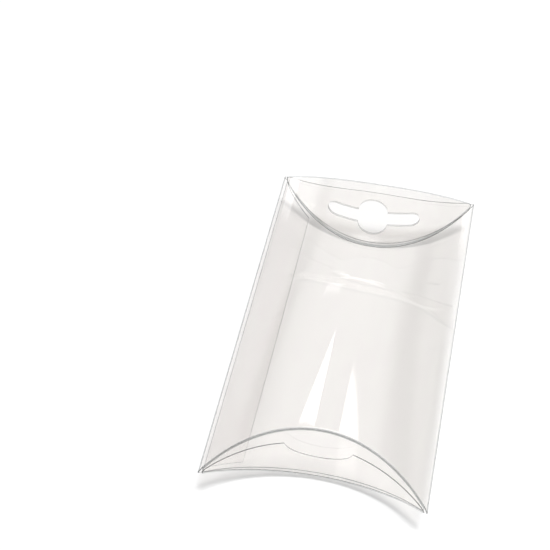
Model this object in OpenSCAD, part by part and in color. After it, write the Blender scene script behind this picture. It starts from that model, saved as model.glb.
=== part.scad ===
// Pillow box folded from one die-cut sheet of clear plastic.
// Two bowed panels meet at the side folds. Each end has two lapped flaps, folded
// in along curved creases, that stand upright and hold the panels apart.
// X runs across the box, +Y towards the hang end, +Z up. The origin lies under
// the middle of the box, on the surface that it rests on.

/* [Box] */
// Width of the folded box, from side fold to side fold
box_w = 70; // [50:1:120]
// Length of the box, from corner to corner
box_l = 134; // [90:1:260]
// Rise of each panel from the side folds to its crown
panel_rise = 14.5; // [12:0.5:16]
// Depth of the hollow at each end, from the corners to the middle
end_depth = 14.8; // [9:0.5:16]
// Thickness of the plastic sheet
sheet_t = 0.3; // [0.2:0.05:0.8]

/* [End flaps] */
// Space between an outer flap and the inner flap and panel that it lies against
lap_gap = 0.2; // [0.1:0.05:0.5]
// How far a flap's free edge stops short of the opposite crease
flap_short = 3.5; // [0.8:0.1:5]
// Gap between a flap's tip and the corner of the box
tip_gap = 1.5; // [0.8:0.1:3]
// Corner radius of a flap's tip
tip_r = 2.5; // [1:0.1:3]

/* [Hang hole] */
// Length of the hang hole across the box, over its two wings
hole_l = 33; // [28:0.5:36]
// Height of the wings
wing_h = 6; // [5:0.1:8]
// Width of the upright eye in the middle
eye_w = 10.4; // [9:0.1:14]
// Height of the upright eye in the middle
eye_h = 16; // [14:0.5:17]

/* [Thumb notch] */
// Width of the thumb notch at the free edge
notch_w = 21; // [14:0.5:26]
// Depth of the thumb notch below the free edge
notch_d = 9.5; // [5:0.5:10]

/* [Glue seam] */
// Width of the glued strip, measured across the box
strip_w = 11.5; // [8:0.5:16]
// Distance from the strip's ends to the inner flaps
strip_setback = 1; // [0.5:0.1:3]

/* [Hidden] */
$fn = 360;
// Half the width of the box
half_w = box_w / 2;
// Radius of a panel's arc, and how far its centre lies beyond the side folds
arc_r = arc_radius(panel_rise);
arc_drop = arc_r - panel_rise;
// The same for the arc of the hollow ends, seen from above
end_r = arc_radius(end_depth);
end_drop = end_r - end_depth;
// The same for a flap's free edge, a flatter arc through the same corners
edge_rise = panel_rise - flap_short;
edge_r = arc_radius(edge_rise);
edge_drop = edge_r - edge_rise;
// End of a flap's tip, and the centre of its rounding, which crosses the free
// edge and the tip's end at a small angle because it lies in by less than its radius
tip_x = half_w - tip_gap;
tip_bite = 0.95;
tip_in = tip_bite * tip_r;
tip_cx = tip_x - tip_in;
tip_cz = sqrt(pow(edge_r - tip_in, 2) - tip_cx * tip_cx) - edge_drop;
// Radius of the thumb notch, from its width and depth
notch_r = (notch_w * notch_w / 4 + notch_d * notch_d) / (2 * notch_d);
// Centre of the eye's round ends
eye_r = eye_w / 2;
eye_cz = eye_h / 2 - eye_r;
// Overrun of the cutting shapes past what they cut
over = 5;
// Colour and opacity of the sheet
clear_plastic = [0.93, 0.93, 0.91, 0.45];

// Radius of the arc with this rise over the width of the box
function arc_radius(rise) = (half_w * half_w + rise * rise) / (2 * rise);

// Turns a section in the XZ plane into a bar along Y, from y0 to y1
module along_y(y0, y1) {
    translate([0, y1, panel_rise])
        rotate([90, 0, 0])
            linear_extrude(height = y1 - y0)
                children();
}

// Turns a plan into a block that runs from below the belly to above the crown
module upright() {
    translate([0, 0, -over])
        linear_extrude(height = 2 * panel_rise + 2 * over)
            children();
}

// Section of the box: two arcs that meet at the side folds
module lens(inset) {
    intersection() {
        translate([0, -arc_drop]) circle(r = arc_r - inset);
        translate([0, arc_drop]) circle(r = arc_r - inset);
    }
}

// Plan of the box: a rectangle with hollow ends, each set in by a distance
module plan(inset) {
    difference() {
        square([box_w + 2 * over, box_l], center = true);
        for (side = [-1, 1])
            translate([0, side * (box_l / 2 + end_drop)])
                circle(r = end_r + inset);
    }
}

// Outline of an end flap seen along Y, hinged at its lower edge
module flap_outline() {
    difference() {
        intersection() {
            translate([0, arc_drop]) circle(r = arc_r);
            translate([0, -edge_drop]) circle(r = edge_r);
            square([2 * tip_x, box_w], center = true);
        }
        tip_cut();
        mirror([1, 0]) tip_cut();
    }
}

// What the rounding takes off the corner of a flap's tip
module tip_cut() {
    lean = atan2(tip_cx, tip_cz + edge_drop);
    reach = 3 * tip_r;
    translate([tip_cx, tip_cz])
        difference() {
            polygon([
                [0, 0],
                reach * [sin(lean), cos(lean)],
                [reach + tip_r, reach],
                [reach, 0]
            ]);
            circle(r = tip_r);
        }
}

// Hang hole: an upright eye with a rounded wing on each side
module hang_hole() {
    square([eye_w, 2 * eye_cz], center = true);
    square([hole_l - wing_h, wing_h], center = true);
    for (side = [-1, 1]) {
        translate([0, side * eye_cz]) circle(r = eye_r);
        translate([side * (hole_l - wing_h) / 2, 0]) circle(r = wing_h / 2);
    }
}

// Thumb notch, cut down from the middle of the free edge
module thumb_notch() {
    translate([0, edge_rise - notch_d + notch_r]) circle(r = notch_r);
}

// Glued strip, folded in at the left side fold and bonded to the lower panel
module glue_strip() {
    intersection() {
        along_y(-box_l / 2, box_l / 2)
            intersection() {
                difference() {
                    lens(sheet_t);
                    translate([0, arc_drop]) circle(r = arc_r - 2 * sheet_t);
                }
                translate([-half_w, -box_w]) square([strip_w, box_w]);
            }
        upright() plan(sheet_t + strip_setback);
    }
}

// Both panels in one sheet, with the two inner flaps folded down from the top
module sleeve() {
    color(clear_plastic)
        difference() {
            intersection() {
                along_y(-box_l / 2, box_l / 2) lens(0);
                upright() plan(0);
            }
            difference() {
                sleeve_hollow();
                glue_strip();
            }
            along_y(0, box_l / 2 + over) hang_hole();
        }
}

// Space inside the sleeve, and the slits below the inner flaps' free edges
module sleeve_hollow() {
    intersection() {
        along_y(-box_l / 2, box_l / 2) lens(sheet_t);
        upright() plan(sheet_t);
    }
    along_y(-box_l / 2 - over, box_l / 2 + over)
        difference() {
            lens(sheet_t);
            mirror([0, 1]) flap_outline();
        }
}

// Upright outer flap at one end, with its cut-out as the child
module outer_flap(side) {
    intersection() {
        along_y(side < 0 ? -box_l / 2 - over : 0, side < 0 ? 0 : box_l / 2 + over)
            difference() {
                flap_outline();
                children();
            }
        upright()
            translate([0, side * (box_l / 2 + end_drop)])
                difference() {
                    circle(r = end_r - lap_gap);
                    circle(r = end_r - lap_gap - sheet_t);
                }
    }
}

// Outer flap of the notch end, hinged to the lower panel
module notch_flap() {
    color(clear_plastic) outer_flap(-1) thumb_notch();
}

// Outer flap of the hang end, hinged to the lower panel
module hang_flap() {
    color(clear_plastic) outer_flap(1) hang_hole();
}

sleeve();
notch_flap();
hang_flap();
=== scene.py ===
"""Looks of a clear pillow box: one folded plastic sheet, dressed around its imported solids."""

import logging
import math
from dataclasses import dataclass, field
from enum import Enum

import bmesh
import bpy
from mathutils import Matrix, Vector


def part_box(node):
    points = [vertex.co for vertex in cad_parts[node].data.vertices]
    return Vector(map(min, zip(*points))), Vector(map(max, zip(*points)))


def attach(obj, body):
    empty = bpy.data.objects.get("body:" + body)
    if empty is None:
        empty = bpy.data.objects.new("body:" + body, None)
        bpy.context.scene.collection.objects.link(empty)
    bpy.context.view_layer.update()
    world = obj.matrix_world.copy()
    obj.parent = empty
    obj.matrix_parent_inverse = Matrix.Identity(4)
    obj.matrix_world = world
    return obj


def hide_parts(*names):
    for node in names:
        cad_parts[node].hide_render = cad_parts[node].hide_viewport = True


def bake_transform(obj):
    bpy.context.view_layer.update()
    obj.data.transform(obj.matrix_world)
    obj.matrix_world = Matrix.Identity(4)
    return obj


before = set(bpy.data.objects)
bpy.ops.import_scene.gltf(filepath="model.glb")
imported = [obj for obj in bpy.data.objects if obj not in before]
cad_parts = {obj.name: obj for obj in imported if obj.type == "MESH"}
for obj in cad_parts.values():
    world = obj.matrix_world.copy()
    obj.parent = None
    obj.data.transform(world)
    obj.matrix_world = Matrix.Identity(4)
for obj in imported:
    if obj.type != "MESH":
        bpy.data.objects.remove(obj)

log = logging.getLogger("pillow_box")

# One millimetre in metres
MM = 0.001
# Points closer together than WELD are one, and a cut snaps to points closer than SNAP
WELD = 0.01 * MM
SNAP = 0.002 * MM
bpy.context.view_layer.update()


class End(Enum):
    """End of the box, by the sign of its Y."""

    NOTCH = -1
    HANG = 1


class Slot(Enum):
    """Material slots of a sheet. A rim's slot lies RIM past that of the face it closes. The FOLD and
    EASED faces and all rims are grey with painted shade.
    """

    SHEET = 0
    PUNCHED = 1
    BONDED = 2
    FOLD = 3
    EASED = 4
    RIM = 5


def linear(hex_colour: str) -> tuple[float, float, float, float]:
    """Turns an sRGB hex colour to linear.

    Args:
        hex_colour: Six hex digits.

    Returns:
        Red, green, blue and an alpha of 1.
    """
    channels = [int(hex_colour[i : i + 2], 16) / 255 for i in (0, 2, 4)]
    curve = [c / 12.92 if c <= 0.04045 else ((c + 0.055) / 1.055) ** 2.4 for c in channels]
    return (*curve, 1.0)


def add_node(
    tree: bpy.types.NodeTree,
    kind: str,
    settings: dict[str | int, object] | None = None,
    links: dict[str | int, bpy.types.NodeSocket] | None = None,
) -> bpy.types.Node:
    """Adds one node with its settings and links.

    Args:
        tree: Tree that gets the node.
        kind: Type name of the node.
        settings: Values by attribute name or, where no attribute has the name, by input.
        links: Output sockets that feed the node, by input name or index.

    Returns:
        The new node.
    """
    node = tree.nodes.new(kind)
    for key, value in (settings or {}).items():
        if isinstance(key, str) and hasattr(node, key):
            setattr(node, key, value)
        else:
            node.inputs[key].default_value = value
    for key, socket in (links or {}).items():
        tree.links.new(socket, node.inputs[key])
    return node


def new_material(name: str) -> tuple[bpy.types.Material, bpy.types.NodeTree, bpy.types.Node]:
    """Starts a material with an empty tree.

    Args:
        name: Name of the material.

    Returns:
        The material, its tree and its output node.
    """
    material = bpy.data.materials.new(name)
    material.use_nodes = True
    tree = material.node_tree
    tree.nodes.clear()
    return material, tree, add_node(tree, "ShaderNodeOutputMaterial")


@dataclass(frozen=True)
class Film:
    """Clear plastic in any state: light goes straight through it and it mirrors by its angle.

    Attributes:
        name: Name of the material.
        clear: Colour that it lets through where it is clearest.
        dull: Colour that it lets through where it is dullest.
        ior: Index that gives one face the mirror strength of both.
        roughness: Blur of what it mirrors.
    """

    name: str
    clear: str
    dull: str
    ior: float
    roughness: float

    def surface(
        self, tree: bpy.types.NodeTree, dullness: bpy.types.NodeSocket, bump: bpy.types.Node
    ) -> bpy.types.NodeSocket:
        """Mixes what the film lets through with what its front face mirrors.

        Args:
            tree: Tree of the material.
            dullness: Share of the dull colour.
            bump: Node with the bumped normal.

        Returns:
            The mixed shader. Back faces mirror nothing, because the front face stands for both.
        """
        tint = add_node(
            tree,
            "ShaderNodeMix",
            {"data_type": "RGBA", 6: linear(self.clear), 7: linear(self.dull)},
            {0: dullness},
        )
        film = add_node(tree, "ShaderNodeBsdfTransparent", {}, {"Color": tint.outputs[2]})
        gloss = add_node(
            tree,
            "ShaderNodeBsdfAnisotropic",
            {"Color": linear("FFFFFF"), "Roughness": self.roughness},
            {"Normal": bump.outputs[0]},
        )
        fresnel = add_node(
            tree, "ShaderNodeFresnel", {"IOR": self.ior}, {"Normal": bump.outputs[0]}
        )
        facing = add_node(tree, "ShaderNodeNewGeometry")
        front = add_node(
            tree,
            "ShaderNodeMath",
            {"operation": "SUBTRACT", 0: 1.0},
            {1: facing.outputs["Backfacing"]},
        )
        share = add_node(
            tree,
            "ShaderNodeMath",
            {"operation": "MULTIPLY"},
            {0: fresnel.outputs[0], 1: front.outputs[0]},
        )
        mix = add_node(
            tree,
            "ShaderNodeMixShader",
            {},
            {0: share.outputs[0], 1: film.outputs[0], 2: gloss.outputs[0]},
        )
        return mix.outputs[0]


@dataclass(frozen=True)
class ClearSheet(Film):
    """Calendered clear sheet with faint streaks along the web.

    It is clear and glossy on both sides, so the eye knows it by what it mirrors.

    Attributes:
        wave_mm: Spacing of the faint waves that the calender leaves.
        wave_bump_mm: Height of those waves.
        streak_mm: Spacing of the streaks.
        web_stretch: How many times longer waves and streaks are along the web than across it.
    """

    name: str = "clear_calendered_sheet"
    clear: str = "FEFEFD"
    dull: str = "FDFCFC"
    ior: float = 1.84
    roughness: float = 0.03
    wave_mm: float = 14.0
    wave_bump_mm: float = 0.006
    streak_mm: float = 3.0
    web_stretch: float = 4.0

    def build(self) -> bpy.types.Material:
        """Makes the material.

        Returns:
            A sheet that mirrors by its angle and lets the rest straight through.
        """
        material, tree, out = new_material(self.name)
        place = add_node(tree, "ShaderNodeTexCoord")
        stretch = add_node(
            tree,
            "ShaderNodeMapping",
            {"Scale": (1.0, 1 / self.web_stretch, 1.0)},
            {"Vector": place.outputs["Object"]},
        )
        waves = add_node(
            tree,
            "ShaderNodeTexNoise",
            {"Scale": 1 / (self.wave_mm * MM), "Detail": 1.0, "Roughness": 0.4},
            {"Vector": stretch.outputs["Vector"]},
        )
        bump = add_node(
            tree,
            "ShaderNodeBump",
            {"Strength": 1.0, "Distance": self.wave_bump_mm * MM},
            {"Height": waves.outputs[0]},
        )
        streaks = add_node(
            tree,
            "ShaderNodeTexNoise",
            {"Scale": 1 / (self.streak_mm * MM), "Detail": 3.0},
            {"Vector": stretch.outputs["Vector"]},
        )
        tree.links.new(self.surface(tree, streaks.outputs[0], bump), out.inputs["Surface"])
        return material


@dataclass(frozen=True)
class BondedStrip(ClearSheet):
    """Glue strip, bonded to the panel below it: it mirrors less, so it reads just a touch darker."""

    name: str = "bonded_strip"
    clear: str = "FFFFFF"
    dull: str = "FFFEFE"
    ior: float = 1.45


@dataclass(frozen=True)
class ScoredFoldShade(Film):
    """Scored and bent sheet, drawn as a thin grey, duller line. Its grey is painted shade for the
    light that the bend turns aside, and it deepens the shadow that the fold casts.

    Attributes:
        grain_mm: Size of the mottle that the scoring rule leaves.
        grain_bump_mm: Height of that mottle.
    """

    name: str = "scored_fold_painted_shade"
    # Painted shade: the grey that a bent fold shows and casts
    clear: str = "D6D8D8"
    dull: str = "C0C2C2"
    ior: float = 1.84
    roughness: float = 0.12
    grain_mm: float = 1.2
    grain_bump_mm: float = 0.02

    def build(self) -> bpy.types.Material:
        """Makes the material.

        Returns:
            A fold that lets less light through than the sheet beside it.
        """
        material, tree, out = new_material(self.name)
        place = add_node(tree, "ShaderNodeTexCoord")
        mottle = add_node(
            tree,
            "ShaderNodeTexNoise",
            {"Scale": 1 / (self.grain_mm * MM), "Detail": 2.0},
            {"Vector": place.outputs["Object"]},
        )
        bump = add_node(
            tree,
            "ShaderNodeBump",
            {"Strength": 1.0, "Distance": self.grain_bump_mm * MM},
            {"Height": mottle.outputs[0]},
        )
        tree.links.new(self.surface(tree, mottle.outputs[0], bump), out.inputs["Surface"])
        return material


@dataclass(frozen=True)
class EasedFoldShade(ScoredFoldShade):
    """Fold drawn as a paler grey line than the scored fold: its grey is lighter painted shade for
    the light that the bend turns aside.
    """

    name: str = "eased_fold_painted_shade"
    # Painted shade, lighter than the scored fold's
    clear: str = "EDEEEE"
    dull: str = "DCDEDE"


@dataclass(frozen=True)
class DieCutEdgeShade:
    """Edge that the cutting die leaves, with fine marks: its dark grey is painted shade for the
    light that a cut edge of clear sheet bends away, so it reads as a dark hairline.

    Attributes:
        name: Name of the material.
        body: Painted shade colour of the cut face.
        through: Colour that it lets through, grey with painted shade.
        solid: Share of that painted shade, from 0 to 1.
        tear_mm: Spacing of the marks that the die leaves.
        tear_bump_mm: Height of those marks.
        roughness: Blur of what the cut face mirrors.
        ior: Index of refraction of the plastic.
    """

    name: str = "die_cut_edge_painted_shade"
    # Painted shade: the dark grey of a cut edge
    body: str = "464848"
    through: str = "BEC0C0"
    solid: float = 0.72
    tear_mm: float = 0.5
    tear_bump_mm: float = 0.05
    roughness: float = 0.35
    ior: float = 1.54

    def build(self) -> bpy.types.Material:
        """Makes the material.

        Returns:
            A half-clear edge with fine marks, grey with painted shade.
        """
        material, tree, out = new_material(self.name)
        place = add_node(tree, "ShaderNodeTexCoord")
        marks = add_node(
            tree,
            "ShaderNodeTexNoise",
            {"Scale": 1 / (self.tear_mm * MM), "Detail": 2.0},
            {"Vector": place.outputs["Object"]},
        )
        bump = add_node(
            tree,
            "ShaderNodeBump",
            {"Strength": 0.6, "Distance": self.tear_bump_mm * MM},
            {"Height": marks.outputs[0]},
        )
        film = add_node(tree, "ShaderNodeBsdfTransparent", {"Color": linear(self.through)})
        edge_shade = add_node(
            tree,
            "ShaderNodeBsdfPrincipled",
            {"Base Color": linear(self.body), "Roughness": self.roughness, "IOR": self.ior},
            {"Normal": bump.outputs[0]},
        )
        mix = add_node(
            tree, "ShaderNodeMixShader", {0: self.solid}, {1: film.outputs[0], 2: edge_shade.outputs[0]}
        )
        tree.links.new(mix.outputs[0], out.inputs["Surface"])
        return material


@dataclass(frozen=True)
class PunchedEdgeShade(DieCutEdgeShade):
    """Edge of a punched hole or notch, drawn as a pale hairline: its lighter grey is painted shade
    as well.
    """

    name: str = "punched_edge_painted_shade"
    # Painted shade, paler than the die-cut edge's
    body: str = "8E9090"
    through: str = "DCDDDD"
    solid: float = 0.45


@dataclass(frozen=True)
class Arc:
    """Circular arc over a chord.

    Attributes:
        half_chord: Half the length of the chord.
        rise: Height of the arc above the middle of the chord.
    """

    half_chord: float
    rise: float

    @property
    def radius(self) -> float:
        """Radius of the arc."""
        return (self.half_chord**2 + self.rise**2) / (2 * self.rise)

    @property
    def drop(self) -> float:
        """Distance of the centre beyond the chord."""
        return self.radius - self.rise

    def height(self, x: float, inset: float = 0.0) -> float:
        """Height above the chord at x of the arc shrunk by inset."""
        return math.sqrt(max((self.radius - inset) ** 2 - x**2, 0.0)) - self.drop


@dataclass(frozen=True)
class BoxForm:
    """Sizes of the folded sheet, and the lines that its parts share. All in metres.

    Attributes:
        half_width: Half the width, from fold to fold.
        half_length: Half the length, from corner to corner.
        fold_z: Height of the side folds.
        sheet: Thickness of the sheet.
        end_depth: Depth of the hollow at each end.
        lap_gap: Space between an outer flap and what it lies against.
        tip_gap: Gap between a flap's tip and the corner of the box.
        tip_radius: Corner radius of a flap's tip.
        fold_radius: Bend radius of the side folds.
        crease_radius: Bend radius of the curved creases.
        hang_end_bow: How far the middle of the hang end's upper crease springs out.
        bow_spread: How late the bow fades towards the corners, as a power of the distance.
        bow_curl: How fast the flap below it curls back in, as a power of its height.
        squash: Share of its height that the handled notch end has lost.
        squash_from: Y from which that loss grows towards the notch end.
        squash_to: Y at which it is complete.
        squash_bend: Length over which the panels bend into it.
        columns: Faces across a flap.
        bend_steps: Faces around a bend.
    """

    half_width: float
    half_length: float
    fold_z: float
    sheet: float = 0.3 * MM
    end_depth: float = 14.8 * MM
    lap_gap: float = 0.2 * MM
    tip_gap: float = 1.5 * MM
    tip_radius: float = 2.5 * MM
    fold_radius: float = 0.5 * MM
    crease_radius: float = 0.6 * MM
    hang_end_bow: float = 2.8 * MM
    bow_spread: float = 3.0
    bow_curl: float = 6.0
    squash: float = 0.172
    squash_from: float = 10 * MM
    squash_to: float = -52 * MM
    squash_bend: float = 5 * MM
    columns: int = 64
    bend_steps: int = 5

    @property
    def panel(self) -> Arc:
        """Arc of a panel's outer face."""
        return Arc(self.half_width, self.fold_z)

    @property
    def end(self) -> Arc:
        """Arc of the hollow end, seen from above."""
        return Arc(self.half_width, self.end_depth)

    @property
    def mid_radius(self) -> float:
        """Radius of a panel's middle layer."""
        return self.panel.radius - self.sheet / 2

    @property
    def tip_x(self) -> float:
        """Reach of a flap's tips from the middle."""
        return self.half_width - self.tip_gap

    @property
    def tip_turn(self) -> float:
        """Angle from the crown to a flap's tip, seen from the arc's centre."""
        return math.asin(self.tip_x / self.mid_radius)

    @property
    def bend_x(self) -> float:
        """Distance of a side fold's bend centre from the middle."""
        return math.sqrt((self.mid_radius - self.fold_radius) ** 2 - self.panel.drop**2)

    @property
    def bend_turn(self) -> float:
        """Angle from the crown to where a side fold's bend starts."""
        return math.atan2(self.bend_x, self.panel.drop)

    def panel_z(self, x: float, up: int) -> float:
        """Height of a panel's middle layer, the upper one's where up is 1."""
        return self.fold_z + up * self.panel.height(x, self.sheet / 2)

    def flap_y(self, x: float, up: int) -> float:
        """Distance from the middle of the box of the flap that a panel carries."""
        inset = -self.sheet / 2 if up > 0 else self.lap_gap + self.sheet / 2
        return self.half_length - self.end.height(x, inset)

    def bow(self, x: float, up: int, side: int) -> float:
        """How far a crease lies outside its flap's foot: only the hang end's upper one does."""
        share = 1 - (abs(x) / self.half_width) ** self.bow_spread
        return self.hang_end_bow * share if up > 0 and side > 0 else 0.0

    def squashed(self, y: float, z: float) -> float:
        """Presses the notch end flatter.

        Args:
            y: Y of a point.
            z: Its height before.

        Returns:
            Its height after.
        """
        past = (self.squash_from - y) / self.squash_bend
        eased = max(past, 0.0) + math.log1p(math.exp(-abs(past)))
        share = self.squash_bend * eased / (self.squash_from - self.squash_to)
        return self.fold_z + (z - self.fold_z) * (1 - self.squash * share)

    def panel_end(self, x: float, up: int, side: int) -> float:
        """Finds where a panel's straight part ends.

        Args:
            x: Distance across, from the middle of the box.
            up: 1 for the upper panel, -1 for the lower.
            side: Sign of the end's Y.

        Returns:
            Distance of that place from the middle of the box, along it.
        """
        bent = self.flap_y(x, up) + self.bow(x, up, side) - self.crease_radius
        past = smooth_step((abs(x) - self.tip_x) / (self.bend_x + self.fold_radius - self.tip_x))
        return bent + past * (self.flap_y(x, 1) - bent)


class Pen:
    """Draws outlines in the XZ plane with bmesh operators.

    Attributes:
        bm: Mesh that gets the outlines.
        tip: Vertex that the next stroke starts from.
        start: First vertex of the outline.
    """

    def __init__(self) -> None:
        """Starts with an empty mesh."""
        self.bm = bmesh.new()
        self.tip: bmesh.types.BMVert | None = None
        self.start: bmesh.types.BMVert | None = None

    def move(self, x: float, z: float) -> None:
        """Starts a new outline at a point."""
        self.tip = bmesh.ops.create_vert(self.bm, co=(x, 0, z))["vert"][0]
        self.start = self.tip

    def line(self, x: float, z: float) -> None:
        """Draws a straight stroke.

        Args:
            x: X of the point that it ends at.
            z: Z of that point.
        """
        made = bmesh.ops.extrude_vert_indiv(self.bm, verts=[self.tip])
        self.tip = made["verts"][0]
        self.tip.co = (x, 0, z)

    def arc(self, x: float, z: float, turn: float, steps: int) -> None:
        """Draws an arc about a centre.

        Args:
            x: X of the centre.
            z: Z of the centre.
            turn: Angle from +Z towards +X, in radians.
            steps: Number of edges.
        """
        made = bmesh.ops.spin(
            self.bm, geom=[self.tip], cent=(x, 0, z), axis=(0, 1, 0), angle=turn, steps=steps
        )
        self.tip = next(g for g in made["geom_last"] if isinstance(g, bmesh.types.BMVert))

    def close(self) -> None:
        """Joins the last point to the first, which lies at the same place."""
        bmesh.ops.pointmerge(self.bm, verts=[self.tip, self.start], merge_co=self.start.co)

    def fill(self) -> None:
        """Fills the outlines and leaves holes open."""
        bmesh.ops.triangle_fill(self.bm, use_beauty=True, edges=self.bm.edges[:])

    def sweep(self, rows: int) -> bmesh.types.BMesh:
        """Turns the outline into a bar along Y, from -1 to 1.

        Args:
            rows: Faces along the bar.

        Returns:
            The pen's mesh.
        """
        bm = self.bm
        bmesh.ops.translate(bm, verts=bm.verts[:], vec=(0, -1, 0))
        made = bmesh.ops.extrude_edge_only(bm, edges=bm.edges[:])["geom"]
        far = [g for g in made if isinstance(g, bmesh.types.BMVert)]
        bmesh.ops.translate(bm, verts=far, vec=(0, 2, 0))
        rungs = [e for e in bm.edges if abs(e.verts[0].co.y - e.verts[1].co.y) > 1]
        bmesh.ops.subdivide_edges(bm, edges=rungs, cuts=rows - 1, use_grid_fill=True)
        return bm


def cut(
    bm: bmesh.types.BMesh, point: tuple[float, float, float], normal: tuple[float, float, float]
) -> None:
    """Cuts every face of a mesh along a plane.

    Args:
        bm: Mesh to cut.
        point: Point on the plane.
        normal: Normal of the plane.
    """
    bmesh.ops.bisect_plane(
        bm,
        geom=bm.verts[:] + bm.edges[:] + bm.faces[:],
        dist=SNAP,
        plane_co=point,
        plane_no=normal,
    )


def join(bm: bmesh.types.BMesh, part: bmesh.types.BMesh) -> None:
    """Adds a part to a mesh.

    Args:
        bm: Mesh that gets the part.
        part: Mesh to add, freed here.
    """
    mesh = bpy.data.meshes.new("part")
    part.to_mesh(mesh)
    part.free()
    bm.from_mesh(mesh)
    bpy.data.meshes.remove(mesh)


def smooth_step(share: float) -> float:
    """Eases a share from 0 to 1."""
    share = min(max(share, 0.0), 1.0)
    return share * share * (3 - 2 * share)


@dataclass
class SheetMaker:
    """Bends sheets at the creases and turns their middle layer into finished pieces.

    Attributes:
        form: Sizes of the box.
        finishes: Materials in the order of Slot, for the faces and then for their rims.
        sharp_from: Angle between faces, in degrees, from which an edge is shaded sharp.
    """

    form: BoxForm
    finishes: list[bpy.types.Material]
    sharp_from: float = 50.0

    def roll(
        self, bm: bmesh.types.BMesh, rim: list[bmesh.types.BMEdge], up: int, side: int
    ) -> None:
        """Extrudes a flap's hinge line around the curved crease to the panel's end.

        Args:
            bm: Mesh of the sheet.
            rim: Edges of the hinge line.
            up: 1 for the upper panel's crease, -1 for the lower panel's.
            side: Sign of the end's Y.
        """
        form = self.form
        # Painted shade: the notch end's upper crease takes the darker fold grey, every other curved
        # crease the paler one
        slot = Slot.FOLD if up > 0 > side else Slot.EASED
        for step in range(1, form.bend_steps + 1):
            made = bmesh.ops.extrude_edge_only(bm, edges=rim)["geom"]
            verts = [g for g in made if isinstance(g, bmesh.types.BMVert)]
            share = step / form.bend_steps
            turn = math.pi / 2 * (1 - share)
            for v in verts:
                reach = form.crease_radius * (1 - math.sin(turn))
                fall = form.crease_radius * (1 - math.cos(turn))
                v.co.y = side * (form.flap_y(v.co.x, up) + form.bow(v.co.x, up, side) - reach)
                v.co.z = form.panel_z(v.co.x, up) - up * fall
            for face in (g for g in made if isinstance(g, bmesh.types.BMFace)):
                face.material_index = slot.value
            fresh = set(verts)
            rim = [
                g
                for g in made
                if isinstance(g, bmesh.types.BMEdge) and all(v in fresh for v in g.verts)
            ]

    def finish(self, bm: bmesh.types.BMesh, name: str) -> bpy.types.Object:
        """Gives the sheet its thickness and its finishes.

        Args:
            bm: Middle layer of the sheet, freed here.
            name: Name of the piece.

        Returns:
            A closed piece with its place in its mesh.
        """
        bmesh.ops.remove_doubles(bm, verts=bm.verts[:], dist=WELD)
        bmesh.ops.recalc_face_normals(bm, faces=bm.faces[:])
        for v in bm.verts:
            v.co.z = self.form.squashed(v.co.y, v.co.z)
        mesh = bpy.data.meshes.new(name)
        bm.to_mesh(mesh)
        bm.free()
        piece = bpy.data.objects.new(name, mesh)
        bpy.context.scene.collection.objects.link(piece)
        for finish in self.finishes:
            mesh.materials.append(finish)
        thick = piece.modifiers.new("thickness", "SOLIDIFY")
        thick.thickness = self.form.sheet
        thick.offset = 0.0
        thick.material_offset_rim = Slot.RIM.value
        view = bpy.context.evaluated_depsgraph_get()
        piece.data = bpy.data.meshes.new_from_object(piece.evaluated_get(view))
        piece.data.name = name
        piece.modifiers.clear()
        piece.data.shade_smooth()
        piece.data.set_sharp_from_angle(angle=math.radians(self.sharp_from))
        return piece


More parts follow.
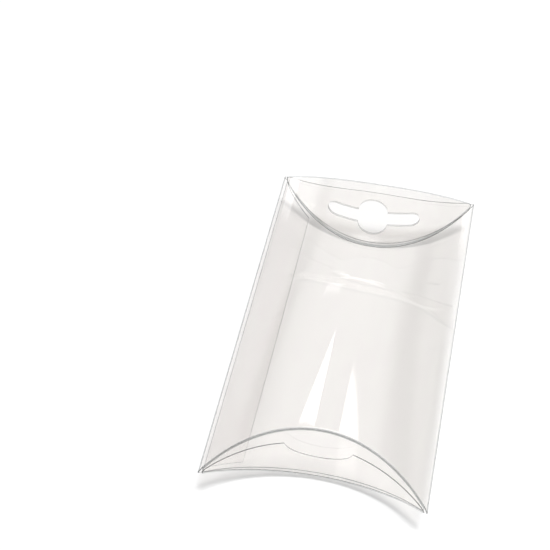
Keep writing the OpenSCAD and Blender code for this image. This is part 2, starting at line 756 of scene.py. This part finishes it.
@dataclass
class FlapShape:
    """Outline of an end flap that stands on its hinge, with the side folds' height at 0.

    Attributes:
        form: Sizes of the box.
        short: How far the flap stops short of the opposite crease.
        hole_length: Length of the hang hole over its wings.
        wing_height: Height of the wings.
        eye_width: Width of the upright eye.
        eye_height: Height of the upright eye.
        notch_width: Width of the thumb notch.
        notch_depth: Depth of the thumb notch.
        rows: Rows between the hinge and the free edge.
        corner_steps: Edges around a tip's corner.
        edge_steps: Edges along a free edge without a notch.
        beside_steps: Edges along the free edge on each side of the notch.
        notch_steps: Edges around the notch.
        wing_steps: Edges around the end of a wing.
        eye_steps: Edges around each end of the eye.
    """

    form: BoxForm
    short: float = 3.5 * MM
    hole_length: float = 33 * MM
    wing_height: float = 6 * MM
    eye_width: float = 10.4 * MM
    eye_height: float = 16 * MM
    notch_width: float = 21 * MM
    notch_depth: float = 9.5 * MM
    rows: int = 24
    corner_steps: int = 6
    edge_steps: int = 40
    beside_steps: int = 14
    notch_steps: int = 28
    wing_steps: int = 12
    eye_steps: int = 20

    @property
    def edge(self) -> Arc:
        """Arc of the free edge."""
        return Arc(self.form.half_width, self.form.fold_z - self.short)

    def hinge_z(self, x: float) -> float:
        """Height of the hinge line at x."""
        return self.form.crease_radius - self.form.panel.height(x, self.form.sheet / 2)

    def height(self, x: float) -> float:
        """Height of the flap at x."""
        return self.edge.height(x) - self.hinge_z(x)

    def share(self, spot: Vector) -> float:
        """Share of the flap's height at which a spot lies, from 0 at the hinge to 1."""
        return (spot.z - self.hinge_z(spot.x)) / self.height(spot.x)

    def outline(self, pen: Pen, notched: bool) -> None:
        """Draws the flap's outline.

        Args:
            pen: Pen that draws it.
            notched: Whether the free edge has the thumb notch.
        """
        form, edge = self.form, self.edge
        radius, turn = form.mid_radius, form.tip_turn
        corner = form.tip_radius
        corner_x = form.tip_x - corner
        corner_z = math.sqrt((edge.radius - corner) ** 2 - corner_x**2) - edge.drop
        lean = math.atan2(corner_x, corner_z + edge.drop)
        centre = form.panel.drop + form.crease_radius
        pen.move(-form.tip_x, centre - radius * math.cos(turn))
        pen.arc(0, centre, -2 * turn, form.columns)
        pen.line(form.tip_x, corner_z)
        pen.arc(corner_x, corner_z, lean - math.pi / 2, self.corner_steps)
        if notched:
            notch = (self.notch_width**2 / 4 + self.notch_depth**2) / (2 * self.notch_depth)
            notch_z = edge.rise - self.notch_depth + notch
            reach = notch_z + edge.drop
            meet_z = (edge.radius**2 - notch**2 + reach**2) / (2 * reach) - edge.drop
            meet_x = math.sqrt(notch**2 - (meet_z - notch_z) ** 2)
            meet_turn = math.atan2(meet_x, meet_z + edge.drop)
            notch_turn = math.atan2(meet_x, meet_z - notch_z)
            pen.arc(0, -edge.drop, meet_turn - lean, self.beside_steps)
            pen.arc(0, notch_z, 2 * (math.pi - notch_turn), self.notch_steps)
            pen.arc(0, -edge.drop, meet_turn - lean, self.beside_steps)
        else:
            pen.arc(0, -edge.drop, -2 * lean, self.edge_steps)
        pen.arc(-corner_x, corner_z, lean - math.pi / 2, self.corner_steps)
        pen.line(pen.start.co.x, pen.start.co.z)
        pen.close()

    def hang_hole(self, pen: Pen) -> None:
        """Draws the hang hole: an upright eye with a rounded wing on each side.

        Args:
            pen: Pen that draws it.
        """
        wing = self.wing_height / 2
        wing_x = self.hole_length / 2 - wing
        eye = self.eye_width / 2
        eye_z = self.eye_height / 2 - eye
        meet_x = math.sqrt(eye**2 - (wing - eye_z) ** 2)
        meet_turn = math.atan2(meet_x, wing - eye_z)
        pen.move(wing_x, -wing)
        pen.arc(wing_x, 0, -math.pi, self.wing_steps)
        pen.line(meet_x, wing)
        pen.arc(0, eye_z, -2 * meet_turn, self.eye_steps)
        pen.line(-wing_x, wing)
        pen.arc(-wing_x, 0, -math.pi, self.wing_steps)
        pen.line(-meet_x, -wing)
        pen.arc(0, -eye_z, -2 * meet_turn, self.eye_steps)
        pen.line(pen.start.co.x, pen.start.co.z)
        pen.close()

    def build(self, notched: bool, hung: bool) -> bmesh.types.BMesh:
        """Makes the flat flap, cut into columns and rows so that it can be bent.

        Args:
            notched: Whether it has the thumb notch.
            hung: Whether it has the hang hole.

        Returns:
            The flap in the XZ plane.
        """
        pen = Pen()
        self.outline(pen, notched)
        if hung:
            self.hang_hole(pen)
        pen.fill()
        bm, form = pen.bm, self.form
        for i in range(1, form.columns):
            turn = (2 * i / form.columns - 1) * form.tip_turn
            cut(bm, (form.mid_radius * math.sin(turn), 0, 0), (1, 0, 0))
        slanted = [
            e
            for e in bm.edges
            if not e.is_boundary and abs(e.verts[0].co.x - e.verts[1].co.x) > SNAP
        ]
        bmesh.ops.dissolve_edges(bm, edges=slanted, use_verts=False)
        idle = [v for v in bm.verts if not v.is_boundary and len(v.link_edges) == 2]
        bmesh.ops.dissolve_verts(bm, verts=idle)
        for v in bm.verts:
            v.co.z = self.share(v.co)
        for i in range(1, self.rows):
            cut(bm, (0, 0, i / self.rows), (0, 0, 1))
        for v in bm.verts:
            v.co.z = self.hinge_z(v.co.x) + v.co.z * self.height(v.co.x)
        for e in bm.edges:
            if e.is_boundary and self.punched((e.verts[0].co + e.verts[1].co) / 2):
                e.link_faces[0].material_index = Slot.PUNCHED.value
        return bm

    def punched(self, spot: Vector) -> bool:
        """Tells which cut edges are punched.

        Args:
            spot: Middle of a cut edge.

        Returns:
            Whether it lies on the hang hole or the thumb notch.
        """
        margin = 0.1 * MM
        low, high = self.hinge_z(spot.x) + margin, self.edge.height(spot.x) - margin
        return abs(spot.x) < self.hole_length / 2 + margin and low < spot.z < high

    def hinge(self, bm: bmesh.types.BMesh) -> list[bmesh.types.BMEdge]:
        """Finds the hinge line of a flat flap.

        Args:
            bm: Mesh of the flap.

        Returns:
            The edges of that line.
        """
        centre = self.form.panel.drop + self.form.crease_radius
        radius = self.form.mid_radius
        return [
            e
            for e in bm.edges
            if e.is_boundary
            and all(abs(math.hypot(v.co.x, v.co.z - centre) - radius) < WELD for v in e.verts)
            and abs(e.verts[0].co.x - e.verts[1].co.x) > WELD
        ]


@dataclass(frozen=True)
class Dent:
    """Shallow buckle across the upper panel, left by handling.

    Attributes:
        depth: Its greatest depth.
        width: Half its width.
        middle: Y at which it crosses the middle of the box.
        slope: How much it nears the notch end per metre across.
        hook_from: X from which it curves towards the hang end.
        hook: How sharply it curves there, per metre.
        left: X at which it starts.
        right: X at which it ends.
        fade: Length over which it starts and ends.
    """

    depth: float = 0.2 * MM
    width: float = 1.1 * MM
    middle: float = 8.0 * MM
    slope: float = 0.06
    hook_from: float = 20 * MM
    hook: float = 55.0
    left: float = -24 * MM
    right: float = 34 * MM
    fade: float = 8 * MM

    def depth_at(self, x: float, y: float) -> float:
        """Works out the depth of the buckle.

        Args:
            x: X of a point on the panel.
            y: Y of that point.

        Returns:
            How far the panel is pressed in there.
        """
        line = self.middle - self.slope * x + self.hook * max(x - self.hook_from, 0.0) ** 2
        ends = smooth_step((x - self.left) / self.fade) * smooth_step((self.right - x) / self.fade)
        return self.depth * ends * math.exp(-(((y - line) / self.width) ** 2))


@dataclass
class Sleeve:
    """Both panels, the glue strip and the inner flaps, folded from one sheet.

    Attributes:
        maker: Bends and finishes sheets.
        flaps: Outline of the end flaps.
        strip_width: Width of the glue strip.
        step_width: Width over which the strip steps up onto the lower panel.
        strip_lift: How high its middle layer lies over the panel's, in thicknesses of the sheet.
        strip_slant: How far the strip's ends step back at the side fold.
        slant_width: Width over which they do.
        strip_taper: How far they slope back per metre across.
        strip_columns: Faces across the strip.
        rows: Faces along a panel.
        dent: Buckle across the upper panel.
    """

    maker: SheetMaker
    flaps: FlapShape
    strip_width: float = 11.5 * MM
    step_width: float = 0.5 * MM
    strip_lift: float = 1.15
    strip_slant: float = 1.6 * MM
    slant_width: float = 3 * MM
    strip_taper: float = 0.1
    strip_columns: int = 24
    rows: int = 200
    dent: Dent = field(default_factory=Dent)

    def panels(self) -> bmesh.types.BMesh:
        """Makes both panels, which start at the seam and end at the left fold.

        Returns:
            Their middle layer.
        """
        form = self.maker.form
        drop, tip, bend = form.panel.drop, form.tip_turn, form.bend_turn
        pen = Pen()
        pen.move(-form.tip_x, form.panel_z(form.tip_x, -1))
        pen.arc(0, form.fold_z + drop, -2 * tip, form.columns)
        pen.arc(0, form.fold_z + drop, tip - bend, 1)
        pen.arc(form.bend_x, form.fold_z, 2 * bend - math.pi, form.bend_steps)
        pen.arc(0, form.fold_z - drop, tip - bend, 1)
        pen.arc(0, form.fold_z - drop, -2 * tip, form.columns)
        pen.arc(0, form.fold_z - drop, tip - bend, 1)
        pen.arc(-form.bend_x, form.fold_z, 2 * bend - math.pi, form.bend_steps)
        bm = pen.sweep(self.rows)
        for v in bm.verts:
            up, side = (1 if v.co.z > form.fold_z else -1), (1 if v.co.y > 0 else -1)
            v.co.y *= form.panel_end(v.co.x, up, side)
            if up > 0:
                v.co.z -= self.dent.depth_at(v.co.x, v.co.y)
        bend_start = form.mid_radius * math.sin(form.bend_turn)
        # The side folds' bends take the darker fold grey, which is painted shade
        for face in bm.faces:
            if abs(face.calc_center_median().x) > bend_start:
                face.material_index = Slot.FOLD.value
        return bm

    def strip(self) -> bmesh.types.BMesh:
        """Makes the glue strip, which steps up onto the lower panel.

        Returns:
            Its middle layer.
        """
        form = self.maker.form
        far_turn = math.asin((form.half_width - self.strip_width) / form.mid_radius)
        start = -form.mid_radius * math.sin(form.bend_turn)
        pen = Pen()
        pen.move(start, form.panel_z(start, -1))
        pen.arc(0, form.fold_z + form.panel.drop, far_turn - form.bend_turn, self.strip_columns)
        bm = pen.sweep(self.rows)
        centre = Vector((0, 0, form.fold_z + form.panel.drop))
        for v in bm.verts:
            across = v.co.x - start
            step_back = self.strip_slant * smooth_step(across / self.slant_width)
            lift = self.strip_lift * form.sheet * smooth_step(across / self.step_width)
            inward = (centre - Vector((v.co.x, 0, v.co.z))).normalized()
            v.co.y *= form.panel_end(v.co.x, -1, 1) - step_back - self.strip_taper * across
            v.co += inward * lift
        for face in bm.faces:
            face.material_index = Slot.BONDED.value
        return bm

    def inner_flap(self, end: End) -> bmesh.types.BMesh:
        """Makes the inner flap of one end, folded down from the upper panel.

        Args:
            end: End that it closes.

        Returns:
            Its middle layer, with the crease that joins it to the panel.
        """
        form = self.maker.form
        bm = self.flaps.build(notched=False, hung=end is End.HANG)
        hinge = self.flaps.hinge(bm)
        for v in bm.verts:
            near = min(max(1 - self.flaps.share(v.co), 0.0), 1.0) ** form.bow_curl
            v.co.y = end.value * (form.flap_y(v.co.x, 1) + near * form.bow(v.co.x, 1, end.value))
            v.co.z = form.fold_z - v.co.z
        self.maker.roll(bm, hinge, up=1, side=end.value)
        return bm

    def build(self) -> bpy.types.Object:
        """Makes the sleeve.

        Returns:
            The piece, which stands for the sleeve's solid.
        """
        bm = self.panels()
        join(bm, self.strip())
        for end in End:
            join(bm, self.inner_flap(end))
        piece = self.maker.finish(bm, "folded_sleeve")
        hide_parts("sleeve")
        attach(piece, "sleeve")
        log.info("folded_sleeve: %d faces", len(piece.data.polygons))
        return piece


@dataclass
class OuterFlap:
    """Outer flap of one end, with the curved fold that joins it to the lower panel.

    Attributes:
        maker: Bends and finishes sheets.
        flaps: Outline of the end flaps.
        end: End that it closes.
        lean: How far its free edge springs outwards.
        curl: How late it does so on the way up, as a power of the height.
        bend_from: Distance from the crease at which the flap starts to follow its hinge. Not used.
        bend_to: Distance at which it follows its hinge in full. Not used.
    """

    maker: SheetMaker
    flaps: FlapShape
    end: End
    lean: float
    curl: float = 1.0
    bend_from: float = 1.0 * MM
    bend_to: float = 19.4 * MM

    def build(self) -> bpy.types.Object:
        """Makes the flap.

        Returns:
            The piece, which takes the place of the flap's solid.
        """
        form, side = self.maker.form, self.end.value
        notched = self.end is End.NOTCH
        bm = self.flaps.build(notched=notched, hung=not notched)
        hinge = self.flaps.hinge(bm)
        height = form.fold_z + self.flaps.edge.rise
        for v in bm.verts:
            v.co.z += form.fold_z
            above = max(v.co.z - form.panel_z(v.co.x, -1) - form.crease_radius, 0.0)
            v.co.y = side * (form.flap_y(v.co.x, -1) + self.lean * (above / height) ** self.curl)
        self.maker.roll(bm, hinge, up=-1, side=side)
        name, body = ("notch_end_flap", "notch_flap") if notched else ("hang_end_flap", "hang_flap")
        piece = self.maker.finish(bm, name)
        crown = Vector((0, side * form.flap_y(0, -1), 0))
        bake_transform(piece)
        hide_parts(body)
        log.info("%s: %d faces", name, len(piece.data.polygons))
        return piece


def heading(azimuth: float, elevation: float) -> Vector:
    """Turns an azimuth, from +Y towards +X, and an elevation in degrees to a direction."""
    turn, rise = math.radians(azimuth), math.radians(elevation)
    return Vector((math.sin(turn) * math.cos(rise), math.cos(turn) * math.cos(rise), math.sin(rise)))


@dataclass(frozen=True)
class Patch:
    """Bright or dark part of the room, which only glossy sheet shows.

    Attributes:
        corners: Azimuth, from +Y towards +X, and elevation of its corners in degrees.
        level: What it adds to the room's grey.
        soft: Width of its blurred border in degrees.
    """

    corners: tuple[tuple[float, float], ...]
    level: float
    soft: float

    def add(
        self, tree: bpy.types.NodeTree, sky: bpy.types.NodeSocket, room: bpy.types.NodeSocket
    ) -> bpy.types.NodeSocket:
        """Adds the patch to the room.

        Args:
            tree: Tree of the world.
            sky: Direction of the ray.
            room: Brightness of the room so far.

        Returns:
            Its brightness with the patch.
        """
        aims = [heading(*corner) for corner in self.corners]
        middle = sum(aims, Vector())
        border = math.sin(math.radians(self.soft / 2))
        blur = {"interpolation_type": "SMOOTHSTEP", "From Min": -border, "From Max": border}
        level: bpy.types.NodeSocket | None = None
        for here, there in zip(aims, aims[1:] + aims[:1]):
            inward = here.cross(there).normalized()
            inward *= math.copysign(1.0, inward.dot(middle))
            depth = add_node(
                tree, "ShaderNodeVectorMath", {"operation": "DOT_PRODUCT", 1: inward}, {0: sky}
            )
            share = add_node(tree, "ShaderNodeMapRange", blur, {"Value": depth.outputs["Value"]})
            settings, links = {"operation": "MULTIPLY"}, {0: share.outputs[0]}
            if level is None:
                settings[1] = self.level
            else:
                links[1] = level
            level = add_node(tree, "ShaderNodeMath", settings, links).outputs[0]
        total = add_node(tree, "ShaderNodeMath", {"operation": "ADD"}, {0: room, 1: level})
        return total.outputs[0]


@dataclass
class Studio:
    """Pale floor, a plain soft lamp, the room that glossy sheet mirrors, and the camera.

    Attributes:
        floor_size: Width of the floor.
        floor_colour: Colour of the floor.
        floor_glow: How much the floor shows beside what the lamps give it.
        fill: Strength of the plain light from all around.
        key_azimuth: Direction of the softbox in degrees, from +Y towards +X.
        key_elevation: Its height in degrees.
        key_distance: Distance of the softbox in metres.
        key_size: Width of the softbox in metres.
        key_radiance: How bright its face is, where 1 is paper white.
        room: Grey that glossy sheet mirrors.
        ceiling: What the ceiling adds to it.
        ceiling_rise: Elevations between which the ceiling starts, in degrees.
        patches: Bright and dark parts of the room.
        camera_place: Where the camera stands, in metres.
        camera_turn: How it is turned about X, Y and Z, in degrees.
        camera_lens: Its focal length in millimetres, on a sensor 36 mm wide.
    """

    floor_size: float = 4.0
    floor_colour: str = "E6E6E6"
    floor_glow: float = 0.24
    fill: float = 0.25
    key_azimuth: float = 148.0
    key_elevation: float = 75.0
    key_distance: float = 8.0
    key_size: float = 1.33
    key_radiance: float = 94.0
    room: float = 0.74
    ceiling: float = 2.5
    ceiling_rise: tuple[float, float] = (58.5, 64.0)
    # In order: a dark wall to the right; a paler wall low on the left and a greyer one above
    # it; a bright wall high up on the right; a slightly paler one ahead; three small lamps
    # that show as the streaks on the panels; and one low on the left
    patches: tuple[Patch, ...] = (
        Patch(((35, 28), (34, 44), (58, 46), (66, 10), (45, 8)), -0.9, 12.0),
        Patch(((-56, -2), (-36, -2), (-36, 21), (-54, 22)), 0.4, 8.0),
        Patch(((-52, 24), (-33, 24), (-33, 32), (-52, 32)), -0.45, 5.0),
        Patch(((28, 52), (56, 46), (62, 30), (80, 20), (80, 66), (28, 64)), 1.5, 4.0),
        Patch(((-35, 40), (-35, 52), (12, 52), (12, 40)), 0.08, 8.0),
        Patch(((-14.3, 53.0), (-28.5, 53.1), (-15.7, 57.0)), 5.0, 0.5),
        Patch(((9.0, 55.2), (19, 54.5), (26.5, 54.0), (27.5, 56.0), (8.6, 58.4)), 2.5, 0.9),
        Patch(((-15.2, 48.2), (-26.1, 44.6), (-29.8, 44.8), (-18, 49.6)), 1.0, 0.9),
        Patch(((-45.2, -4), (-40, -4), (-40, 9), (-45.2, 7)), 1.5, 1.5),
    )
    camera_place: tuple[float, float, float] = (0.03111, -0.28774, 0.35047)
    camera_turn: tuple[float, float, float] = (42.801, -0.585, 11.642)
    camera_lens: float = 87.77

    def floor(self) -> None:
        """Makes the floor: white to the eye, and shaded by what stands on it."""
        bm = bmesh.new()
        bmesh.ops.create_grid(bm, x_segments=2, y_segments=2, size=self.floor_size / 2)
        mesh = bpy.data.meshes.new("floor")
        bm.to_mesh(mesh)
        bm.free()
        floor = bpy.data.objects.new("floor", mesh)
        bpy.context.scene.collection.objects.link(floor)
        material, tree, out = new_material("white_paper_sweep")
        lit = add_node(tree, "ShaderNodeBsdfDiffuse", {"Color": linear(self.floor_colour)})
        glow = add_node(
            tree,
            "ShaderNodeEmission",
            {"Color": linear("FFFFFF")},
            {"Strength": self.seen(tree, self.floor_glow)},
        )
        both = add_node(tree, "ShaderNodeAddShader", {}, {0: lit.outputs[0], 1: glow.outputs[0]})
        tree.links.new(both.outputs[0], out.inputs["Surface"])
        mesh.materials.append(material)

    def seen(self, tree: bpy.types.NodeTree, strength: float) -> bpy.types.NodeSocket:
        """Gives a strength to rays that show the stage: camera, glossy and transmission.

        Args:
            tree: Tree that gets the nodes.
            strength: Strength for those rays.

        Returns:
            That strength for them, and 0 for all other rays.
        """
        path = add_node(tree, "ShaderNodeLightPath")
        shown = path.outputs["Is Camera Ray"]
        for kind in ("Is Glossy Ray", "Is Transmission Ray"):
            either = {0: shown, 1: path.outputs[kind]}
            shown = add_node(tree, "ShaderNodeMath", {"operation": "MAXIMUM"}, either).outputs[0]
        scaled = add_node(
            tree, "ShaderNodeMath", {"operation": "MULTIPLY", 1: strength}, {0: shown}
        )
        return scaled.outputs[0]

    def room_light(self, tree: bpy.types.NodeTree) -> bpy.types.NodeSocket:
        """Makes the room that glossy sheet mirrors: walls, a bright ceiling and the patches.

        Args:
            tree: Tree of the world.

        Returns:
            Brightness of the room in the direction of the ray.
        """
        sky = add_node(tree, "ShaderNodeTexCoord").outputs["Generated"]
        height = add_node(tree, "ShaderNodeSeparateXYZ", {}, {0: sky})
        low, high = (math.sin(math.radians(a)) for a in self.ceiling_rise)
        walls = add_node(
            tree,
            "ShaderNodeMapRange",
            {
                "interpolation_type": "SMOOTHSTEP",
                "From Min": low,
                "From Max": high,
                "To Min": self.room,
                "To Max": self.room + self.ceiling,
            },
            {"Value": height.outputs["Z"]},
        )
        room = walls.outputs[0]
        for patch in self.patches:
            room = patch.add(tree, sky, room)
        shown = add_node(tree, "ShaderNodeMath", {"operation": "MAXIMUM", 1: 0.0}, {0: room})
        return shown.outputs[0]

    def key(self) -> None:
        """Makes the softbox, high up in front. Glossy sheet doesn't show it."""
        light = bpy.data.lights.new("key_softbox", "AREA")
        light.shape = "SQUARE"
        light.size = self.key_size
        light.energy = self.key_radiance * math.pi * self.key_size**2
        lamp = bpy.data.objects.new("key_softbox", light)
        aim = heading(self.key_azimuth, self.key_elevation)
        turned = aim.to_track_quat("Z", "Y").to_matrix().to_4x4()
        lamp.matrix_world = Matrix.Translation(aim * self.key_distance) @ turned
        lamp.visible_glossy = False
        bpy.context.scene.collection.objects.link(lamp)

    def world(self) -> None:
        """Makes the backdrop: white to the eye, a studio to the gloss, plain fill to the rest."""
        world = bpy.data.worlds.new("studio")
        world.use_nodes = True
        tree = world.node_tree
        tree.nodes.clear()
        out = add_node(tree, "ShaderNodeOutputWorld")
        path = add_node(tree, "ShaderNodeLightPath")
        paper = linear("FFFFFF")
        fill = add_node(tree, "ShaderNodeBackground", {"Strength": self.fill, "Color": paper})
        room = add_node(
            tree, "ShaderNodeBackground", {"Color": paper}, {"Strength": self.room_light(tree)}
        )
        white = add_node(tree, "ShaderNodeBackground", {"Strength": 1.0, "Color": paper})
        glossy = add_node(
            tree,
            "ShaderNodeMixShader",
            {},
            {0: path.outputs["Is Glossy Ray"], 1: fill.outputs[0], 2: room.outputs[0]},
        )
        mix = add_node(
            tree,
            "ShaderNodeMixShader",
            {},
            {0: path.outputs["Is Camera Ray"], 1: glossy.outputs[0], 2: white.outputs[0]},
        )
        tree.links.new(mix.outputs[0], out.inputs["Surface"])
        bpy.context.scene.world = world

    def camera(self) -> None:
        """Sets the camera at the photograph's viewing angle."""
        data = bpy.data.cameras.new("camera")
        data.sensor_width = 36.0
        data.lens = self.camera_lens
        data.clip_start = 0.01
        camera = bpy.data.objects.new("camera", data)
        camera.location = self.camera_place
        camera.rotation_euler = [math.radians(a) for a in self.camera_turn]
        bpy.context.scene.collection.objects.link(camera)
        bpy.context.scene.camera = camera

    def build(self) -> None:
        """Sets up the stage."""
        self.floor()
        self.world()
        self.camera()
        self.key()


def main() -> None:
    """Builds the box and its stage."""
    logging.basicConfig(level=logging.INFO, format="%(name)s: %(message)s")
    scene = bpy.context.scene
    scene.view_settings.view_transform = "Standard"
    scene.cycles.transparent_max_bounces = 32
    Studio().build()
    low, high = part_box("sleeve")
    form = BoxForm(half_width=high.x, half_length=high.y, fold_z=high.z / 2)
    sheet, bonded = ClearSheet().build(), BondedStrip().build()
    # The fold and edge finishes are grey with painted shade
    fold, eased = ScoredFoldShade().build(), EasedFoldShade().build()
    edge, punched = DieCutEdgeShade().build(), PunchedEdgeShade().build()
    finishes = [sheet, sheet, bonded, fold, eased, edge, punched, edge, edge, edge]
    maker = SheetMaker(form, finishes)
    flaps = FlapShape(form)
    Sleeve(maker, FlapShape(form, short=2.2 * MM)).build()
    OuterFlap(maker, flaps, End.NOTCH, lean=2.8 * MM).build()
    OuterFlap(maker, flaps, End.HANG, lean=1.3 * MM, curl=form.bow_curl).build()


if __name__ == "__main__":
    main()
